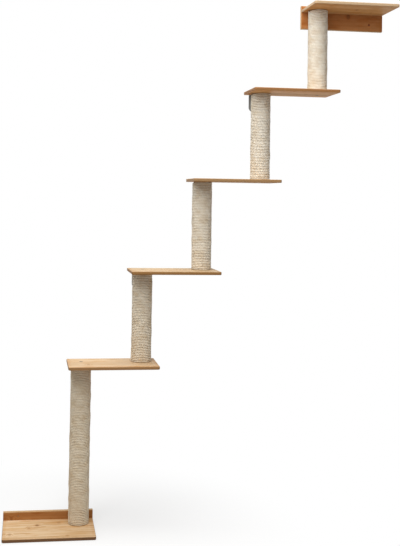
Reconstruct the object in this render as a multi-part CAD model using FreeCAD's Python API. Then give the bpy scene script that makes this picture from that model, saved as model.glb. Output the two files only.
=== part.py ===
"""Wall mounted cat tree: a staircase of six pine boards on five sisal posts.

Millimetres, +Z up. The origin is at the middle of the base board's length, on the line
where the wall meets the floor: Y = 0 is the wall, Z = 0 is the floor, and the boards
reach out towards -Y. Each shelf steps up to the right of the one below it. A post stands
near the right end of a board and carries the next board near that board's left end.
Every post is a turned timber core wound with sisal rope, and countersunk screws with
hexagon sockets draw the boards to its two ends.
"""
import FreeCAD, Part
import math
import os

from FreeCAD import Vector

# ---------------------------------------------------------------- boards
board_length = 400.0
board_thickness = 14.0
shelf_depth = 220.0            # every shelf, wall edge to front edge
base_depth = 240.0             # base board, from its batten to its front edge
board_corner_radius = 9.0      # front corners, seen from above
board_edge_chamfer = 2.0       # eased upper and lower edges

# ---------------------------------------------------------------- posts
post_diameter = 90.0           # over the rope
tall_post_height = 700.0       # first post, between the base and shelf 1
step_post_height = 400.0       # posts 2 to 4
top_post_height = 385.0        # last post, under the top shelf
post_from_wall = 78.0          # wall to post axis
post_below_inset = 62.0        # left end of a board to the axis of the post under it
post_above_inset = 68.0        # right end of a board to the axis of the post on it
rope_diameter = 7.0
rope_end_gap = 1.0             # bare core between the rope and a board

# ---------------------------------------------------------------- wall battens
batten_thickness = 18.0
base_batten_rise = 36.0        # above the base board
top_batten_rise = 18.0         # above the top shelf
top_batten_drop = 78.0         # below the top shelf
batten_edge_chamfer = 2.0
wall_hole_spacing = 268.0      # between the two wall screws of a batten
wall_hole_diameter = 5.5
base_wall_hole_rise = 18.0     # above the base board
top_wall_hole_height = 32.0    # above the lower edge of the top batten

# ---------------------------------------------------------------- angle brackets
bracket_shelves = (2, 4)
bracket_width = 40.0
bracket_thickness = 3.0
bracket_wall_leg = 78.0
bracket_shelf_leg = 30.0
bracket_bend_radius = 3.0      # inside of the bend
bracket_corner_radius = 6.0    # front corners of the leg under the shelf
bracket_inset = 23.0           # left end of the shelf to the bracket
bracket_hole_drop = 26.0       # shelf to the upper wall hole
bracket_hole_spacing = 36.0
bracket_screw_spacing = 24.0
bracket_screw_from_wall = 18.0

# ---------------------------------------------------------------- fasteners
post_screw_diameter = 8.0
post_screw_head_diameter = 16.0
post_screw_length = 60.0
post_screw_socket_width = 5.0  # across the flats
post_screw_socket_depth = 3.0
batten_screw_diameter = 4.5
batten_screw_head_diameter = 8.8
batten_screw_length = 42.0
batten_screw_spacing = 200.0
bracket_screw_diameter = 4.0
bracket_screw_head_diameter = 8.0
bracket_screw_head_height = 2.4
bracket_screw_length = 12.0    # under the head
fastener_sides = 8             # of the small screws and the pilot holes, which lie out of sight

# ---------------------------------------------------------------- clearances
head_clearance = 0.2           # round a countersunk head
shank_clearance = 0.25         # round a screw's shank, on the radius
rope_clearance = 0.2           # between the winding and the core

# ---------------------------------------------------------------- derived sizes
core_radius = post_diameter / 2 - rope_diameter - rope_clearance
step_run = board_length - post_below_inset - post_above_inset
post_heights = [tall_post_height] + 3 * [step_post_height] + [top_post_height]
post_count = len(post_heights)
UP = Vector(0, 0, 1)
DOWN = Vector(0, 0, -1)
TO_WALL = Vector(0, 1, 0)
FROM_WALL = Vector(0, -1, 0)


def board_left(level):
    """Left end of a board: level 0 is the base, level 5 the top shelf."""
    return -board_length / 2 + level * step_run


def board_bottom(level):
    """Underside of a board."""
    return level * board_thickness + sum(post_heights[:level])


def post_axis(number):
    """X of the axis of post 1 to 5, which stands on board number - 1."""
    return board_left(number - 1) + board_length - post_above_inset


def post_foot(number):
    """Top face of the board that post 1 to 5 stands on."""
    return board_bottom(number - 1) + board_thickness


def turned_to(shape, direction, place):
    """A shape modelled along +Z, turned to a direction and moved to its place."""
    turn = FreeCAD.Rotation(UP, direction)
    shape.Placement = FreeCAD.Placement(place, turn)
    return shape


def revolved(profile):
    """A closed solid of revolution about Z from (radius, height) points."""
    points = [Vector(radius, 0, height) for radius, height in profile]
    face = Part.Face(Part.makePolygon(points + points[:1]))
    return face.revolve(Vector(0, 0, 0), UP, 360)


def edges_where(shape, test):
    """The edges of a shape whose middle point passes a test."""
    return [e for e in shape.Edges if test(e.valueAt((e.FirstParameter + e.LastParameter) / 2))]


def drilled(solid, cutters):
    """A solid with every cutter taken out of it."""
    for cutter in cutters:
        solid = solid.cut(cutter)
    return solid


def countersink(diameter, head_diameter, length):
    """Cutter for a countersunk hole: mouth at Z = 0, hole going down."""
    radius = diameter / 2
    mouth = head_diameter / 2
    overshoot = 1.0
    return revolved([(0, overshoot), (mouth, overshoot), (mouth, 0),
                     (radius, radius - mouth), (radius, -length), (0, -length)])


def regular_polygon(sides, width, z):
    """A closed wire with the given distance between its flats, at height z."""
    corner = width / 2 / math.cos(math.pi / sides)
    step = 2 * math.pi / sides
    points = [Vector(corner * math.cos(i * step), corner * math.sin(i * step), z)
              for i in range(sides)]
    return Part.makePolygon(points + points[:1])


def prism(sides, width, top, bottom):
    """A regular prism on the Z axis, between two heights."""
    return Part.Face(regular_polygon(sides, width, top)).extrude(Vector(0, 0, bottom - top))


def faceted_screw(diameter, head_diameter, length, clearance=0.0, overshoot=0.0):
    """A small countersunk screw, head face at Z = 0, or the cutter for its hole.

    Its sections have few sides, because it lies out of sight between a wall and a board.
    """
    width = diameter + 2 * clearance
    head_width = head_diameter + 2 * clearance
    cone_depth = (head_diameter - diameter) / 2
    head = Part.makeLoft([regular_polygon(fastener_sides, head_width, 0),
                          regular_polygon(fastener_sides, width, -cone_depth)], True, True)
    shank = prism(fastener_sides, width, -cone_depth, -length - overshoot)
    screw = head.fuse(shank)
    if overshoot > 0:
        screw = screw.fuse(prism(fastener_sides, head_width, overshoot, 0))
    return screw.removeSplitter()


def board(level, depth, back):
    """A pine board with rounded front corners and eased edges; the wall edge stays square."""
    left = board_left(level)
    bottom = board_bottom(level)
    solid = Part.makeBox(board_length, depth, board_thickness, Vector(left, back - depth, bottom))
    uprights = edges_where(solid, lambda p: p.y < back - depth / 2
                           and abs(p.z - bottom - board_thickness / 2) < 0.01)
    solid = solid.makeFillet(board_corner_radius, uprights)
    faces = (bottom, bottom + board_thickness)
    rim = edges_where(solid, lambda p: p.y < back - 0.1 and min(abs(p.z - z) for z in faces) < 0.01)
    return solid.makeChamfer(min(board_edge_chamfer, 0.4 * board_thickness), rim)


def post_screw_hole(x, z, direction):
    """Cutter for a post screw whose head lies in the face at height z."""
    cutter = countersink(post_screw_diameter + 2 * shank_clearance,
                         post_screw_head_diameter + 2 * head_clearance, board_thickness + 1)
    return turned_to(cutter, direction, Vector(x, -post_from_wall, z))


def post_screw():
    """A countersunk screw with a hexagon socket, head face at Z = 0, shank down."""
    radius = post_screw_diameter / 2
    head = post_screw_head_diameter / 2
    screw = revolved([(0, 0), (head, 0), (radius, radius - head), (radius, -post_screw_length),
                      (0, -post_screw_length)])
    return screw.cut(prism(6, post_screw_socket_width, 0, -post_screw_socket_depth))


def batten_screw_places(level):
    """Where the screws of a batten start, on its wall face, level with the board's middle."""
    middle = board_left(level) + board_length / 2
    height = board_bottom(level) + board_thickness / 2
    return [Vector(middle + side * batten_screw_spacing / 2, 0, height) for side in (-1, 1)]


def batten_screw_holes(level):
    """Cutters for the screws that go through a batten into the edge of its board."""
    return [turned_to(faceted_screw(batten_screw_diameter, batten_screw_head_diameter,
                                    batten_screw_length, shank_clearance, 1.0), TO_WALL, place)
            for place in batten_screw_places(level)]


def wall_hole(x, z, front):
    """Cutter for a wall-screw hole, from a front face to past the wall plane."""
    return Part.makeCylinder(wall_hole_diameter / 2, -front + 2, Vector(x, 1, z), FROM_WALL)


def wall_batten(level, drop, rise, hole_height):
    """A batten behind a board, flat against the wall, with two wall-screw holes."""
    left = board_left(level)
    bottom = board_bottom(level) - drop
    height = drop + board_thickness + rise
    front = -batten_thickness
    solid = Part.makeBox(board_length, batten_thickness, height, Vector(left, front, bottom))
    eased = edges_where(solid, lambda p: p.y < front + 0.1 and p.z > bottom + height - 0.1)
    if drop > 0:
        eased += edges_where(solid, lambda p: p.y < front + 0.1 and p.z < bottom + 0.1)
    solid = solid.makeChamfer(batten_edge_chamfer, eased)
    middle = left + board_length / 2
    wall_holes = [wall_hole(middle + side * wall_hole_spacing / 2, bottom + hole_height, front)
                  for side in (-1, 1)]
    return drilled(solid, wall_holes + batten_screw_holes(level))


def post_end(number, end):
    """The point on a post's axis where it meets a board: end is "foot" or "top"."""
    height = post_foot(number)
    if end == "top":
        height += post_heights[number - 1]
    return Vector(post_axis(number), -post_from_wall, height)


def post_core(number):
    """A turned timber core between two boards, with a pilot hole in each end."""
    height = post_heights[number - 1]
    core = Part.makeCylinder(core_radius, height, post_end(number, "foot"), UP)
    pilot = prism(fastener_sides, post_screw_diameter + 2 * shank_clearance,
                  0, board_thickness - post_screw_length - 1)
    pilots = [turned_to(pilot.copy(), outward, post_end(number, end))
              for end, outward in (("foot", DOWN), ("top", UP))]
    return drilled(core, pilots)


def rope_winding(number):
    """The sisal winding as one sleeve of its true outer size, round the core."""
    height = post_heights[number - 1] - 2 * rope_end_gap
    place = post_end(number, "foot") + UP * rope_end_gap
    outer = Part.makeCylinder(post_diameter / 2, height, place, UP)
    return outer.cut(Part.makeCylinder(core_radius + rope_clearance, height, place, UP))


def bracket_screw_places(level):
    """Where the screws of a bracket enter the shelf, under its short leg."""
    middle = board_left(level) + bracket_inset + bracket_width / 2
    return [Vector(middle + side * bracket_screw_spacing / 2, -bracket_screw_from_wall,
                   board_bottom(level) - bracket_thickness) for side in (-1, 1)]


def bracket_screw():
    """A flat-headed wood screw: head under Z = 0, shank up."""
    head = prism(fastener_sides, bracket_screw_head_diameter, 0, -bracket_screw_head_height)
    return head.fuse(prism(fastener_sides, bracket_screw_diameter, bracket_screw_length, 0))


def bracket_screw_holes(level):
    """Cutters for the screws of a bracket, through its short leg and into the shelf."""
    hole = prism(fastener_sides, bracket_screw_diameter + 2 * shank_clearance,
                 bracket_screw_length + 0.5, -1)
    return [turned_to(hole.copy(), UP, place) for place in bracket_screw_places(level)]


def angle_bracket(level):
    """A folded steel angle: a rounded leg down the wall and a short leg under the shelf."""
    left = board_left(level) + bracket_inset
    right = left + bracket_width
    top = board_bottom(level)
    thick = bracket_thickness
    outer = bracket_bend_radius + thick

    def point(from_wall, below):
        return Vector(left, -from_wall, top - below)

    def bend(radius):
        middle = outer - radius * math.sqrt(0.5)
        return Part.Arc(point(outer - radius, outer), point(middle, middle),
                        point(outer, outer - radius)).toShape()

    def line(start, end):
        return Part.makeLine(point(*start), point(*end))

    outline = Part.Wire([bend(outer), line((outer, 0), (bracket_shelf_leg, 0)),
                         line((bracket_shelf_leg, 0), (bracket_shelf_leg, thick)),
                         line((bracket_shelf_leg, thick), (outer, thick)),
                         bend(bracket_bend_radius),
                         line((thick, outer), (thick, bracket_wall_leg)),
                         line((thick, bracket_wall_leg), (0, bracket_wall_leg)),
                         line((0, bracket_wall_leg), (0, outer))])
    solid = Part.Face(outline).extrude(Vector(bracket_width, 0, 0))

    def at_side(p):
        return min(abs(p.x - left), abs(p.x - right)) < 0.1

    tip = edges_where(solid, lambda p: at_side(p) and p.z < top - bracket_wall_leg + 0.1)
    solid = solid.makeFillet(bracket_width / 2 - 0.5, tip)
    front = edges_where(solid, lambda p: at_side(p) and p.y < 0.1 - bracket_shelf_leg)
    solid = solid.makeFillet(bracket_corner_radius, front)
    wall_holes = [wall_hole((left + right) / 2, top - bracket_hole_drop - drop, -thick)
                  for drop in (0, bracket_hole_spacing)]
    return drilled(solid, wall_holes + bracket_screw_holes(level))


def drilled_board(level):
    """A board with the holes for the post screws and for its other screws."""
    on_floor = level == 0
    highest = level == post_count
    behind_batten = on_floor or highest
    solid = board(level, base_depth if on_floor else shelf_depth,
                  -batten_thickness if behind_batten else 0)
    bottom = board_bottom(level)
    cutters = []
    if not highest:
        cutters.append(post_screw_hole(post_axis(level + 1), bottom, DOWN))
    if not on_floor:
        cutters.append(post_screw_hole(post_axis(level), bottom + board_thickness, UP))
    if behind_batten:
        cutters += batten_screw_holes(level)
    if level in bracket_shelves:
        cutters += bracket_screw_holes(level)
    return drilled(solid, cutters)


def save(node, solids):
    """Write one node, as one solid or as a group of separate like solids."""
    shape = solids[0] if len(solids) == 1 else Part.makeCompound(solids)
    for solid in shape.Solids:
        if not solid.isValid() or not solid.isClosed():
            raise ValueError("node " + node + " is not a closed solid")
    shape.exportStep("parts/" + node + ".step")


os.makedirs("parts", exist_ok=True)
posts = range(1, post_count + 1)

# Boards, from the floor up.
save("base_board", [drilled_board(0)])
for level in range(1, post_count):
    save("shelf_%d" % level, [drilled_board(level)])
save("top_shelf", [drilled_board(post_count)])

# Battens against the wall, behind the lowest and the highest board, and their screws.
save("base_wall_batten", [wall_batten(0, 0, base_batten_rise,
                                      board_thickness + base_wall_hole_rise)])
save("top_wall_batten", [wall_batten(post_count, top_batten_drop, top_batten_rise,
                                     top_wall_hole_height)])
for node, level in (("base_batten_screws", 0), ("top_batten_screws", post_count)):
    save(node, [turned_to(faceted_screw(batten_screw_diameter, batten_screw_head_diameter,
                                        batten_screw_length), TO_WALL, place)
                for place in batten_screw_places(level)])

# Posts: a core and its winding.
for number in posts:
    save("post_%d_core" % number, [post_core(number)])
    save("post_%d_sisal" % number, [rope_winding(number)])

# Screws that draw the posts to the boards, each with its head in the far face of a board.
for end, outward in (("foot", DOWN), ("top", UP)):
    save("post_%s_screws" % end,
         [turned_to(post_screw(), outward, post_end(number, end) + outward * board_thickness)
          for number in posts])

# Steel angles under two of the shelves, and their screws.
save("shelf_brackets", [angle_bracket(level) for level in bracket_shelves])
save("bracket_screws", [turned_to(bracket_screw(), UP, place)
                        for level in bracket_shelves for place in bracket_screw_places(level)])
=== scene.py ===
import math
import bmesh
import bpy
from mathutils import Matrix, Vector, noise


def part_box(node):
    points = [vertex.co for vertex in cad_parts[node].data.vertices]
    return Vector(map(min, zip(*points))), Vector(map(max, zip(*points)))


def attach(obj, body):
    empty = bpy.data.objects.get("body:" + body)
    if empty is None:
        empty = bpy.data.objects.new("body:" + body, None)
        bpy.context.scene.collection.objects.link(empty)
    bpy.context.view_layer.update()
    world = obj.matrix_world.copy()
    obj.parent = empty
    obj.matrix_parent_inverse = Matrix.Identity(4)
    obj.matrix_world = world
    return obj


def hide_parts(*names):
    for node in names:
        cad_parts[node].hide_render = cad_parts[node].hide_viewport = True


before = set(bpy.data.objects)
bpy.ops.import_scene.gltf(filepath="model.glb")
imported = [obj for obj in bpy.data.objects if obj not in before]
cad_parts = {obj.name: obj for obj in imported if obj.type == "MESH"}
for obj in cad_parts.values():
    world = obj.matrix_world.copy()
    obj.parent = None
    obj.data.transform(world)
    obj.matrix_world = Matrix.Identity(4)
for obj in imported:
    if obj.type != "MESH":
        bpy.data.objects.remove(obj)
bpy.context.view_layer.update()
scene = bpy.context.scene
scene.view_settings.view_transform = "Standard"


# ---------------------------------------------------------------- camera
# The tree was photographed from in front of its lowest board, at about shoulder height, with
# the camera turned to the right. The picture is an upright crop, so the lens looks below and
# right of its own middle.
picture_height = 546
focal_pixels = 938.8
right_shift_pixels = 40.2
down_shift_pixels = 105
sensor_width = 36.0
camera_place = (-0.1142, -4.3133, 1.4686)
camera_data = bpy.data.cameras.new("camera")
camera_data.sensor_width = sensor_width
camera_data.lens = focal_pixels / picture_height * sensor_width
camera_data.shift_x = right_shift_pixels / picture_height
camera_data.shift_y = -down_shift_pixels / picture_height
camera = bpy.data.objects.new("camera", camera_data)
scene.collection.objects.link(camera)
scene.camera = camera
turned_right = Matrix.Rotation(math.radians(-7.913), 4, "Z")
tilted_up = Matrix.Rotation(math.radians(90 + 1.79), 4, "X")
rolled = Matrix.Rotation(math.radians(0.877), 4, "Z")
camera.matrix_world = Matrix.Translation(camera_place) @ turned_right @ tilted_up @ rolled


# ---------------------------------------------------------------- pine boards
# Six boards of solid knotty pine, each glued up from four staves, sawn to 14 mm, with rounded
# front corners and eased edges, and rubbed with a clear satin oil. The long edges and the ends
# drink more of the oil, so they are darker and more orange than the faces; their tones also hold
# painted shade, and on the top shelf painted light. The undersides are darkened as painted shade.
class Sum:
    """A socket in a material: a sum written with it adds the Math nodes that work it out."""

    def __init__(self, tree, socket):
        self.tree = tree
        self.socket = socket

    def node(self, kind, settings, inputs, output=0):
        """Adds any other node: its settings first, then the values or links of its sockets."""
        added = self.tree.nodes.new("ShaderNode" + kind)
        for name, value in settings.items():
            setattr(added, name, value)
        for key, value in inputs.items():
            if isinstance(value, Sum):
                self.tree.links.new(value.socket, added.inputs[key])
            else:
                added.inputs[key].default_value = value
        return Sum(self.tree, added.outputs[output])

    def maths(self, operation, *others):
        """A Math node that takes this value and then the others."""
        return self.node("Math", {"operation": operation}, dict(enumerate((self,) + others)))

    def __add__(self, other):
        return self.maths("ADD", other)

    def __sub__(self, other):
        return self.maths("SUBTRACT", other)

    def __rsub__(self, other):
        return self * -1.0 + other

    def __mul__(self, other):
        return self.maths("MULTIPLY", other)

    def __truediv__(self, other):
        return self.maths("DIVIDE", other)

    __radd__ = __add__
    __rmul__ = __mul__

    def rise(self, start, end):
        """0 before start and 1 after end, with a smooth slope between."""
        return self.node("MapRange", {"interpolation_type": "SMOOTHSTEP"},
                         {0: self, 1: start, 2: end})

    def blend(self, colour, other):
        """One colour where this mask is 0, and the other where it is 1."""
        return self.node("Mix", {"data_type": "RGBA"}, {0: self, 6: colour, 7: other}, 2)

    def shade(self, colour):
        """A colour times this value."""
        return self.node("VectorMath", {"operation": "SCALE"}, {0: colour, "Scale": self})

    def stain(self, colour, other):
        """A colour where this mask is 0, and that colour times the other where it is 1."""
        return self.node("Mix", {"data_type": "RGBA", "blend_type": "MULTIPLY"},
                         {0: self, 6: colour, 7: other}, 2)

    def part(self, letter):
        """One coordinate of this point or normal."""
        return self.node("SeparateXYZ", {}, {0: self}, "XYZ".index(letter))

    def cloud(self, scale, detail=2.0):
        """Smooth noise from 0 to 1 about this point, with a scale along each axis."""
        place = self.node("Mapping", {}, {"Vector": self, "Scale": scale})
        return self.node("TexNoise", {}, {"Vector": place, "Scale": 1.0, "Detail": detail})

    def relief(self, depth):
        """A normal for the shader, from this height between 0 and 1."""
        return self.node("Bump", {}, {"Height": self, "Distance": depth})


def new_finish(name):
    """A material with its shader, and the points that its patterns start from."""
    finish = bpy.data.materials.new(name)
    finish.use_nodes = True
    tree = finish.node_tree
    shader = Sum(tree, tree.nodes["Principled BSDF"].outputs[0])
    return finish, shader.node("TexCoord", {}, {}, "Object")


def surface(finish, **sockets):
    """Sets the shader's sockets, named with _ for a space, to values or sums."""
    shader = finish.node_tree.nodes["Principled BSDF"]
    for name, value in sockets.items():
        socket = shader.inputs[name.replace("_", " ")]
        if isinstance(value, Sum):
            finish.node_tree.links.new(value.socket, socket)
        else:
            socket.default_value = value


def pine(name, low, high, seed, tone, edge_oil_and_painted_light_tone, knots, holes=(), upright=False):
    """Oiled pine for a board between two corners, with its grain along X.

    knots is a list of (x, distance across the board, radius, strength), and holes one of
    (x, distance across), in metres. The bore of each hole is painted near black as painted shade.
    """
    finish, place = new_finish(name)
    facing = place.node("TexCoord", {}, {}, "Normal")
    across_axis, through_axis = ("Z", "Y") if upright else ("Y", "Z")
    across = place.part(across_axis)
    through = place.part(through_axis)
    along = place.part("X")
    middle = (low + high) / 2
    depth = through - getattr(middle, through_axis.lower())

    # Staves: each is from another tree, with its own tone and its own heart below the face.
    stave_width = 0.3 if upright else 0.0735
    first_joint = 0.011 * seed
    stave = ((across + first_joint) / stave_width).maths("FLOOR")
    luck = stave.node("TexWhiteNoise", {"noise_dimensions": "1D"}, {"W": stave + 3.7 * seed})
    heart = (stave + 0.3 + 0.4 * luck) * stave_width - first_joint

    # Growth rings: cylinders about the heart, which wanders and bends round each knot.
    ring_spacing = 0.0034
    heart_depth = 0.045
    wander = 0.022
    knot_squash = 1.35
    sideways = across - heart
    below = depth + heart_depth + 0.03 * luck
    ring_radius = (sideways * sideways + below * below).maths("SQRT")
    bend = place.cloud((1.6, 7.0, 7.0)) * wander
    knot_wood = knot_rim = knot_stain = 0.0
    for knot_x, knot_across, knot_radius, strength in knots:
        run = (along - knot_x) * knot_squash
        reach = across - knot_across
        share = (run * run + reach * reach).maths("SQRT") / knot_radius
        bend = bend + 0.5 * knot_radius * (1.0 - share.rise(0.5, 4.0))
        knot_wood = (strength * (1.0 - share.rise(0.4, 1.15))).maths("MAXIMUM", knot_wood)
        rim = strength * share.rise(0.3, 0.9) * (1.0 - share.rise(0.9, 1.6))
        knot_rim = rim.maths("MAXIMUM", knot_rim)
        knot_stain = (strength * (1.0 - share.rise(0.8, 3.2))).maths("MAXIMUM", knot_stain)
    late_wood = ((ring_radius + bend) / ring_spacing).maths("FRACT").rise(0.35, 0.95)
    fibre = place.cloud((9.0, 700.0, 700.0), 1.0)
    streak = place.cloud((1.5, 55.0, 55.0), 3.0)
    mottle = place.cloud((14.0, 45.0, 45.0), 2.0)

    # Oil darkens the late wood and, in part, the ends and edges. A band near the ends and the front
    # is darker, and the faces turned down are darkened as painted shade.
    late_tone = (tone[0] * 0.74, tone[1] * 0.60, tone[2] * 0.44, 1.0)
    colour = (late_wood * 0.6).blend(tone + (1.0,), late_tone)
    colour = streak.rise(0.42, 0.66).stain(colour, (0.88, 0.78, 0.64, 1.0))
    colour = mottle.rise(0.45, 0.70).stain(colour, (0.90, 0.80, 0.66, 1.0))
    from_end = (along - low.x).maths("MINIMUM", high.x - along)
    if not upright:
        from_end = from_end.maths("MINIMUM", across - low.y)
        # Painted shade: faces turned down are darkened, standing in for the shade under each board.
        painted_underside_shade = (-1.0 * facing.part("Z")).rise(0.5, 0.9)
        colour = painted_underside_shade.stain(colour, (0.98, 0.76, 0.52, 1.0))
    colour = (1.0 - from_end.rise(0.008, 0.020)).stain(colour, (0.95, 0.88, 0.80, 1.0))
    # Edges take their own tone. It holds oil darkening and painted shade on most boards, and
    # painted light on the top shelf.
    on_face = facing.part(through_axis).maths("ABSOLUTE").rise(0.55, 0.95)
    colour = (1.0 - on_face).blend(colour, edge_oil_and_painted_light_tone + (1.0,))
    colour = (0.84 + 0.16 * luck + 0.16 * fibre).shade(colour)
    colour = (knot_stain * 0.55).stain(colour, (0.82, 0.62, 0.42, 1.0))
    colour = (knot_wood * 0.7).blend(colour, (0.22, 0.095, 0.035, 1.0))
    colour = (knot_rim * 0.45).blend(colour, (0.13, 0.055, 0.02, 1.0))
    for hole_x, hole_across in holes:
        run = along - hole_x
        reach = across - hole_across
        from_hole = (run * run + reach * reach).maths("SQRT")
        colour = (1.0 - from_hole.rise(0.003, 0.009)).stain(colour, (0.72, 0.50, 0.38, 1.0))
        # Painted shade: the bore of each hole is painted near black, for the shade inside it.
        colour = (1.0 - from_hole.rise(0.0027, 0.0031)).blend(colour, (0.035, 0.016, 0.010, 1.0))
    surface(finish, Base_Color=colour, Roughness=0.46 + 0.12 * streak, Specular_IOR_Level=0.12,
            Normal=(late_wood * 0.4 + fibre * 0.6).relief(0.00025))
    return finish


def softened(node, name, finish, rounding, keep_sharp):
    """A copy of a solid whose outer edges are rounded over, as sanding leaves them."""
    sharp_angle = math.radians(30)
    shape = bmesh.new()
    shape.from_mesh(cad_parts[node].data)
    bmesh.ops.remove_doubles(shape, verts=shape.verts, dist=0.00001)
    bmesh.ops.dissolve_limit(shape, angle_limit=math.radians(1), verts=shape.verts,
                             edges=shape.edges)
    sharp = [edge for edge in shape.edges
             if edge.calc_face_angle(0.0) > sharp_angle and not keep_sharp(edge)]
    bmesh.ops.bevel(shape, geom=sharp, offset=rounding, segments=2, profile=0.5,
                    affect="EDGES", material=-1)
    mesh = bpy.data.meshes.new(name)
    shape.to_mesh(mesh)
    shape.free()
    mesh.materials.append(finish)
    piece = bpy.data.objects.new(name, mesh)
    scene.collection.objects.link(piece)
    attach(piece, "root")
    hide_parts(node)


face_tone = (0.72, 0.53, 0.33)
face_tones = {"base_board": face_tone, "shelf_1": (0.71, 0.535, 0.35),
              "shelf_2": (0.60, 0.475, 0.32), "shelf_3": (0.63, 0.48, 0.31),
              "shelf_4": face_tone, "top_shelf": face_tone}
board_knots = {
    "base_board": [(-0.050, -0.092, 0.0085, 1.0), (-0.168, -0.199, 0.008, 0.55),
                   (-0.086, -0.122, 0.007, 0.3), (0.046, -0.066, 0.009, 0.35),
                   (0.077, -0.230, 0.007, 0.4)],
    "shelf_1": [(0.16, -0.15, 0.008, 0.4), (0.36, -0.06, 0.007, 0.5)],
    "shelf_2": [(0.58, -0.14, 0.008, 0.5), (0.43, -0.19, 0.006, 0.4)],
    "shelf_3": [(0.70, -0.12, 0.008, 0.5), (0.88, -0.17, 0.007, 0.4)],
    "shelf_4": [(1.15, -0.10, 0.008, 0.5), (0.97, -0.18, 0.007, 0.4)],
    "top_shelf": [(1.383, -0.130, 0.009, 0.6), (1.24, -0.19, 0.007, 0.4),
                  (1.47, -0.08, 0.006, 0.4)],
}
# Edge tones are darker than the faces, partly from the oil and partly as painted shade. The top
# shelf's lighter edges are painted light from the lamp.
edge_oil_and_painted_light_tones = {"base_board": (0.20, 0.10, 0.045), "shelf_1": (0.34, 0.18, 0.075),
              "shelf_2": (0.32, 0.16, 0.055), "shelf_3": (0.38, 0.22, 0.10),
              "shelf_4": (0.32, 0.15, 0.055), "top_shelf": (0.60, 0.42, 0.25)}
sanded_edge = 0.0008
for seed, board in enumerate(board_knots, start=1):
    low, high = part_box(board)
    wood = pine("oiled_pine_" + board, low, high, seed, face_tones[board], edge_oil_and_painted_light_tones[board],
                board_knots[board])

    def inside_board(edge):
        """Whether an edge belongs to a screw hole, well inside the board's outline."""
        inset = 0.012
        middle = (edge.verts[0].co + edge.verts[1].co) / 2
        return (low.x + inset < middle.x < high.x - inset
                and low.y + inset < middle.y < high.y - inset)

    softened(board, board + "_wood", wood, sanded_edge, inside_board)


# ---------------------------------------------------------------- battens
# Two pine battens against the wall, one standing behind the base board and a taller one behind
# the top shelf. The first is a single plank and the second is glued up from two, with the same
# oil on a redder wood.
# Painted light: each batten's top, bottom and ends take a tone lighter than its front, standing in
# for light from above.
batten_edge_painted_light_tone = (0.62, 0.40, 0.20)
for seed, batten, batten_tone, knots, holes in (
        (7, "base_wall_batten", (0.48, 0.22, 0.075), [(-0.164, 0.020, 0.006, 0.4)], []),
        (8, "top_wall_batten", (0.55, 0.245, 0.09), [(1.381, 2.344, 0.010, 0.8)],
         [(1.216, 2.309), (1.484, 2.309)])):
    low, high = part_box(batten)
    wood = pine("oiled_pine_" + batten, low, high, seed, batten_tone, batten_edge_painted_light_tone, knots,
                holes, upright=True)
    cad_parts[batten].data.materials.clear()
    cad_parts[batten].data.materials.append(wood)


# ---------------------------------------------------------------- sisal windings
# Each post is wound from foot to top with one length of three-strand sisal rope, 7 mm thick.
# The turns lie tight on each other, and the first and last few lie flat on the boards.
rope_diameter = 0.007
lay_length = 0.026
packed_radius = 0.0039    # pressed against its neighbours
clear_of_core = 0.0003
groove_depth = 0.15       # share of the radius
swell_height = 0.0028
wave_height = 0.0005
step_begins = 0.75        # share of a turn
rope_sides = 12
steps_in_turn = 80
settling_turns = 10


def flat_lying(turns):
    """The height, in turns, of rope that lies flat and steps up near the end of each turn."""
    share = turns - math.floor(turns)
    step = max((share - step_begins) / (1 - step_begins), 0.0)
    return math.floor(turns) + step * step * (3 - 2 * step)


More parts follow.
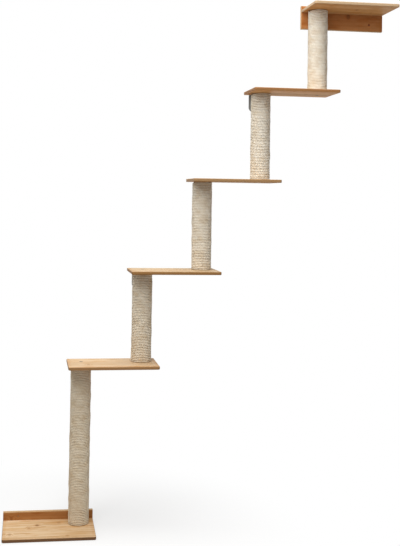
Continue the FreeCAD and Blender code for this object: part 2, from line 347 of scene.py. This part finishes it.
def wound_rope(number, finish):
    """The rope round one post, as one unbroken tube from the foot to the top."""
    node = "post_%d_sisal" % number
    low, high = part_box(node)
    axis = (low + high) / 2
    coil_radius = (high.x - low.x - rope_diameter) / 2 + clear_of_core
    climb = high.z - low.z - rope_diameter
    turns = math.floor(climb / rope_diameter)
    pitch = climb / turns
    rope = bmesh.new()
    start = Matrix.Translation((axis.x + coil_radius, axis.y, low.z + rope_diameter / 2))
    bmesh.ops.create_circle(rope, segments=rope_sides, radius=rope_diameter / 2,
                            matrix=start @ Matrix.Rotation(math.pi / 2, 4, "X"))
    bmesh.ops.spin(rope, geom=rope.verts[:] + rope.edges[:], cent=(axis.x, axis.y, 0),
                   axis=(0, 0, 1), dvec=(0, 0, pitch / steps_in_turn), angle=2 * math.pi,
                   steps=steps_in_turn)
    one_turn = rope.verts[:] + rope.edges[:] + rope.faces[:]
    verts_in_turn = len(rope.verts)
    for above in range(1, turns):
        copied = bmesh.ops.duplicate(rope, geom=one_turn)["geom"]
        bmesh.ops.translate(rope, vec=(0, 0, pitch * above),
                            verts=[part for part in copied if isinstance(part, bmesh.types.BMVert)])
    rope_place = rope.verts.layers.float_vector.new("rope_place")
    strand = rope.verts.layers.float.new("strand")
    painted_crease_and_end_shade = rope.verts.layers.float.new("painted_crease_and_end_shade")
    for index, vert in enumerate(rope.verts):
        turn, place_in_turn = divmod(index, verts_in_turn)
        turned = turn + place_in_turn // rope_sides / steps_in_turn
        angle = 2 * math.pi * turned
        outward = Vector((math.cos(angle), math.sin(angle), 0))
        height = low.z + rope_diameter / 2 + pitch * turned
        offset = vert.co - Vector((axis.x, axis.y, height)) - outward * coil_radius
        laid = math.atan2(offset.z, offset.dot(outward))
        twisted = laid - 2 * math.pi * angle * coil_radius / lay_length
        vert[rope_place] = (math.cos(laid), math.sin(laid), angle * coil_radius)
        vert[strand] = 0.5 + 0.5 * math.cos(3 * laid)
        to_end = min(turned, turns - turned)
        # Painted shade: this value rises where the rope turns into the crease against the next
        # turn, and passes 1 on the last turn at each end, for the shadow at the foot and top of the
        # winding.
        vert[painted_crease_and_end_shade] = abs(math.sin(twisted)) + max(0.0, 1.0 - to_end)
        settled = max(0.0, 1.0 - to_end / settling_turns)
        flat = flat_lying(turned) if turned < turns / 2 else turns - flat_lying(turns - turned)
        wave = noise.noise(
            Vector((2.0 * outward.x, 2.0 * outward.y, 0.35 * turned + 9.0 * number)))
        swell = noise.noise(
            Vector((0.9 * outward.x, 0.9 * outward.y, 0.17 * turned - 5.0 * number)))
        height += pitch * settled * (flat - turned) + wave_height * wave * (1 - settled)
        reach = packed_radius * (1 - groove_depth * (1 - vert[strand]))
        from_axis = coil_radius + swell_height * max(swell, 0.0) + reach * math.cos(twisted)
        vert.co = Vector((axis.x, axis.y, height + reach * math.sin(twisted))) + outward * from_axis
    bmesh.ops.remove_doubles(rope, verts=rope.verts, dist=0.00002)
    bmesh.ops.holes_fill(rope, edges=[edge for edge in rope.edges if edge.is_boundary], sides=0)
    facing_wall = Matrix.Rotation(math.radians(90 + 17 * number), 3, "Z")
    bmesh.ops.rotate(rope, cent=axis, matrix=facing_wall, verts=rope.verts)
    bmesh.ops.recalc_face_normals(rope, faces=rope.faces)
    for face in rope.faces:
        face.smooth = True
    mesh = bpy.data.meshes.new(node)
    rope.to_mesh(mesh)
    rope.free()
    mesh.materials.append(finish)
    piece = bpy.data.objects.new("post_%d_rope" % number, mesh)
    scene.collection.objects.link(piece)
    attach(piece, "root")
    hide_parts(node)


def sisal():
    """Pale sisal fibre in three strands, with straw-coloured lengths, painted shade in the grooves
    and at the ends of the winding, and painted light higher up.
    """
    finish, place = new_finish("natural_sisal")
    rope_place = place.node("Attribute", {"attribute_name": "rope_place"}, {}, 1)
    strand = place.node("Attribute", {"attribute_name": "strand"}, {}, 2)
    painted_crease_and_end_shade = place.node("Attribute", {"attribute_name": "painted_crease_and_end_shade"}, {}, 2)
    fibre = rope_place.cloud((5.0, 5.0, 80.0), 3.0)
    length = rope_place.cloud((0.6, 0.6, 24.0), 2.0).rise(0.35, 0.7)
    weathered = place.cloud((26.0, 26.0, 34.0), 3.0).rise(0.40, 0.72)
    # Painted light: the rope is paler towards the top, nearer the lamps.
    painted_light_by_height = place.part("Z").rise(0.0, 2.2)
    colour = painted_light_by_height.blend((0.90, 0.79, 0.62, 1.0), (0.97, 0.92, 0.82, 1.0))
    colour = (length * 0.5).stain(colour, (0.88, 0.82, 0.72, 1.0))
    colour = (weathered * 0.5).stain(colour, (0.78, 0.68, 0.54, 1.0))
    colour = (0.87 + 0.26 * fibre).shade(colour)
    # Painted shade: the grooves between strands, and mainly the last turn at each end of the
    # winding, are darkened.
    colour = ((1.0 - strand.rise(0.0, 0.8)) * 0.25).stain(colour, (0.52, 0.42, 0.30, 1.0))
    colour = (painted_crease_and_end_shade.rise(0.95, 1.9) * 0.8).stain(colour, (0.30, 0.22, 0.14, 1.0))
    surface(finish, Base_Color=colour, Roughness=0.86 + 0.1 * fibre, Specular_IOR_Level=0.2,
            Normal=(fibre * 0.6 + strand * 0.4).relief(0.0002))
    return finish


rope_finish = sisal()
for number in range(1, 6):
    wound_rope(number, rope_finish)


# ---------------------------------------------------------------- post cores
# Turned softwood cores under the rope, left raw. Only the ends and a hairline at the foot and
# the top of each winding could ever show.
for number in range(1, 6):
    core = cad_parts["post_%d_core" % number]
    finish, place = new_finish("raw_softwood_%d" % number)
    grain = place.cloud((160.0, 160.0, 6.0), 2.0)
    tool_marks = place.cloud((4.0, 4.0, 900.0), 1.0)
    surface(finish, Base_Color=(0.7 + 0.5 * grain).shade((0.60, 0.43, 0.26)),
            Roughness=0.7 + 0.15 * grain, Normal=(grain * 0.5 + tool_marks * 0.5).relief(0.0002))
    core.data.materials.clear()
    core.data.materials.append(finish)


# ---------------------------------------------------------------- screws
# Countersunk steel screws whose zinc has gone dull and brown: a big one with a hexagon socket
# at each end of each post, and small ones in the battens and under the brackets.
finish, place = new_finish("aged_zinc_screws")
plate = place.cloud((220.0, 220.0, 220.0), 3.0)
surface(finish, Base_Color=(0.75 + 0.5 * plate).shade((0.13, 0.10, 0.075)), Metallic=0.5,
        Roughness=0.55 + 0.2 * plate, Specular_IOR_Level=0.2, Normal=plate.relief(0.00005))
for screws in ("post_foot_screws", "post_top_screws", "base_batten_screws", "top_batten_screws",
               "bracket_screws"):
    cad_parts[screws].data.materials.clear()
    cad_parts[screws].data.materials.append(finish)


# ---------------------------------------------------------------- brackets
# Two angles folded from 3 mm steel strip, with a rounded tongue down the wall and a short leg
# under the shelf. They have a satin grey finish with faint rolling marks.
finish, place = new_finish("grey_bracket_steel")
rolling = place.cloud((30.0, 400.0, 30.0), 2.0)
mottle = place.cloud((70.0, 70.0, 70.0), 3.0)
surface(finish, Base_Color=(0.8 + 0.3 * mottle + 0.1 * rolling).shade((0.30, 0.30, 0.29)),
        Metallic=0.6, Roughness=0.42 + 0.15 * mottle, Normal=rolling.relief(0.00008))
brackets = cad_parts["shelf_brackets"]
brackets.data.materials.clear()
brackets.data.materials.append(finish)


# ---------------------------------------------------------------- floor
# A plain pale studio floor, which keeps a soft shadow near the tree and turns to the white of
# the background further out.
floor_shape = bmesh.new()
bmesh.ops.create_circle(floor_shape, cap_ends=True, segments=96, radius=30.0,
                        matrix=Matrix.Translation((0.4, 0.0, -0.0005)))
floor_mesh = bpy.data.meshes.new("floor")
floor_shape.to_mesh(floor_mesh)
floor_shape.free()
floor = bpy.data.objects.new("floor", floor_mesh)
scene.collection.objects.link(floor)
paper, point = new_finish("pale_paper")
floor_mesh.materials.append(paper)
seen = (point.node("LightPath", {}, {}, "Is Camera Ray")
        + point.node("LightPath", {}, {}, "Is Glossy Ray"))
bounced_tone = (0.50, 0.49, 0.47, 1.0)
seen_tone = (0.90, 0.90, 0.89, 1.0)
surface(paper, Base_Color=seen.blend(bounced_tone, seen_tone), Roughness=0.9,
        Specular_IOR_Level=0.0)
foot_of_tree = (0.1, -0.1, 0.0)
from_tree = point.node("VectorMath", {"operation": "DISTANCE"}, {0: point, 1: foot_of_tree},
                       "Value")
nearest_white = 0.55
white_share = nearest_white + (1.0 - nearest_white) * from_tree.rise(0.3, 1.1)
glow = point.node("Emission", {}, {"Color": (1.0, 1.0, 1.0, 1.0)})
tree = paper.node_tree
matt = Sum(tree, tree.nodes["Principled BSDF"].outputs[0])
shown = point.node("MixShader", {}, {0: seen.maths("MINIMUM", 1.0) * white_share, 1: matt, 2: glow})
tree.links.new(shown.socket, tree.nodes["Material Output"].inputs["Surface"])


# ---------------------------------------------------------------- studio light
# Even daylight from all round, a large soft lamp high on the left in front, which is nearer to
# the top shelf than to the floor, and a wide soft one overhead.
world = bpy.data.worlds.new("studio")
world.use_nodes = True
scene.world = world
tree = world.node_tree
background = tree.nodes["Background"]
start = Sum(tree, background.outputs[0])
straight = [start.node("LightPath", {}, {}, name)
            for name in ("Is Camera Ray", "Is Glossy Ray", "Is Transmission Ray")]
seen = straight[0] + straight[1] + straight[2]
background.inputs["Color"].default_value = (1.0, 1.0, 1.0, 1.0)
around_light = 0.36
strength = around_light + (1.0 - around_light) * seen.maths("MINIMUM", 1.0)
tree.links.new(strength.socket, background.inputs["Strength"])


def soft_lamp(name, place, target, size, power):
    """A square area lamp that faces a point."""
    lamp_data = bpy.data.lights.new(name, "AREA")
    lamp_data.size = size
    lamp_data.energy = power
    lamp = bpy.data.objects.new(name, lamp_data)
    lamp.location = place
    aim = Vector(target) - Vector(place)
    lamp.rotation_mode = "QUATERNION"
    lamp.rotation_quaternion = aim.to_track_quat("-Z", "Y")
    scene.collection.objects.link(lamp)


soft_lamp("front_lamp", (-0.3, -2.1, 3.2), (0.8, 0.0, 1.7), size=2.0, power=54.0)
soft_lamp("overhead_lamp", (0.4, -0.8, 5.4), (0.6, -0.1, 0.0), size=2.6, power=150.0)
